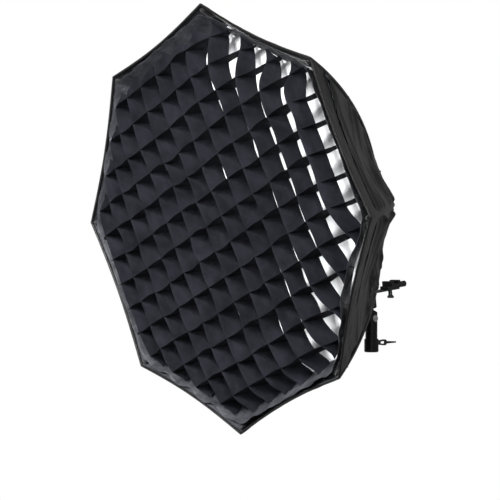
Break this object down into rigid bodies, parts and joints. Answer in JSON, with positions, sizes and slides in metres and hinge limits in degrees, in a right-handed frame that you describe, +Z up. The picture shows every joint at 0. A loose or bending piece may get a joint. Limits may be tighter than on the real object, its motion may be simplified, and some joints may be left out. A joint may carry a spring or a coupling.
{
  "type": "studio softbox",
  "caption": "Octagonal fabric softbox with an egg-crate grid on a speed ring, with a tilting bracket that holds a flash and clamps on a light stand",
  "frame": {"origin": "centre of the mouth of the stand socket", "axes": "+Z up along the light stand, the softbox faces -Y with its front tilted 7 degrees down, +X to the right of someone looking along +Y at the front"},
  "size_m": [0.7, 0.4767, 0.6948],
  "materials": {
    "shell_fabric": "black coated nylon, silver inside",
    "lip_fabric": "black nylon",
    "webbing": "woven webbing",
    "hook_loop": "hook-and-loop tape",
    "diffuser_fabric": "white translucent nylon",
    "grid_fabric": "black nylon strips",
    "rod_fibreglass": "satin fibreglass",
    "ring_metal": "black anodised",
    "elastic_cord": "covered elastic",
    "bracket_metal": "black powder coat",
    "socket_metal": "satin black die cast",
    "bolt_steel": "bright zinc",
    "screw_steel": "black oxide",
    "thumb_metal": "dark cast",
    "black_plastic": "glass-filled nylon"
  },
  "bodies": {
    "stand": {"stand_socket": "socket_metal", "tilt_bolt": "bolt_steel"},
    "stand_clamp": {"stand_lever": "black_plastic"},
    "tilt_clamp": {"tilt_lever": "black_plastic"},
    "head": {"tilt_tongue": "bracket_metal", "ring_arm": "bracket_metal", "ring_screws": "screw_steel", "plate_screws": "screw_steel", "shoe_plate": "bracket_metal", "speed_ring": "ring_metal", "rear_collar": "lip_fabric", "collar_loops": "elastic_cord", "rod_pockets": "webbing", "front_lip": "lip_fabric", "hook_strip": "hook_loop", "front_diffuser": "diffuser_fabric", "shell_panel_1": "shell_fabric", "shell_panel_2": "shell_fabric", "shell_panel_3": "shell_fabric", "shell_panel_4": "shell_fabric", "shell_panel_5": "shell_fabric", "shell_panel_6": "shell_fabric", "shell_panel_7": "shell_fabric", "shell_panel_8": "shell_fabric", "rod_1": "rod_fibreglass", "rod_2": "rod_fibreglass", "rod_3": "rod_fibreglass", "rod_4": "rod_fibreglass", "rod_5": "rod_fibreglass", "rod_6": "rod_fibreglass", "rod_7": "rod_fibreglass", "rod_8": "rod_fibreglass"},
    "grid": {"grid_border": "grid_fabric", "grid_lattice": "grid_fabric"},
    "shoe": {"shoe_base": "black_plastic"},
    "jaw": {"shoe_jaw": "black_plastic"},
    "knob": {"shoe_knob": "black_plastic"},
    "thumb_screw": {"shoe_thumb_screw": "thumb_metal"}
  },
  "joints": [
    {"name": "tilt", "type": "hinge", "parent": "stand", "child": "head", "pos_m": [0, 0, 0.058], "axis": [1, 0, 0], "range_deg": [-60, 40]},
    {"name": "stand_clamp_turn", "type": "hinge", "parent": "stand", "child": "stand_clamp", "pos_m": [0, 0.02, 0.016], "axis": [0, 1, 0], "range_deg": [-180, 180]},
    {"name": "tilt_clamp_turn", "type": "hinge", "parent": "stand", "child": "tilt_clamp", "pos_m": [0, 0, 0.058], "axis": [1, 0, 0], "range_deg": [-60, 60]},
    {"name": "shoe_slide", "type": "slide", "parent": "head", "child": "shoe", "axis": [0, 0.9925, 0.1219], "range_m": [-0.005, 0.005]},
    {"name": "thumb_screw_turn", "type": "hinge", "parent": "shoe", "child": "thumb_screw", "pos_m": [0, 0.04597, 0.09387], "axis": [0, -0.1219, 0.9925], "range_deg": [-360, 360]},
    {"name": "knob_turn", "type": "hinge", "parent": "shoe", "child": "knob", "pos_m": [0, 0.07344, 0.11628], "axis": [0, 0.9925, 0.1219], "range_deg": [-2475, 1350]},
    {"name": "jaw_slide", "type": "slide", "parent": "shoe", "child": "jaw", "axis": [0, 0.9925, 0.1219], "range_m": [-0.003, 0.0055]},
    {"name": "grid_release", "type": "slide", "parent": "head", "child": "grid", "axis": [0, -0.9925, -0.1219], "range_m": [0, 0.08]}
  ],
  "couplings": [
    {"joint": "knob_turn", "follows": "jaw_slide", "rad_per_m": -7854}
  ]
}
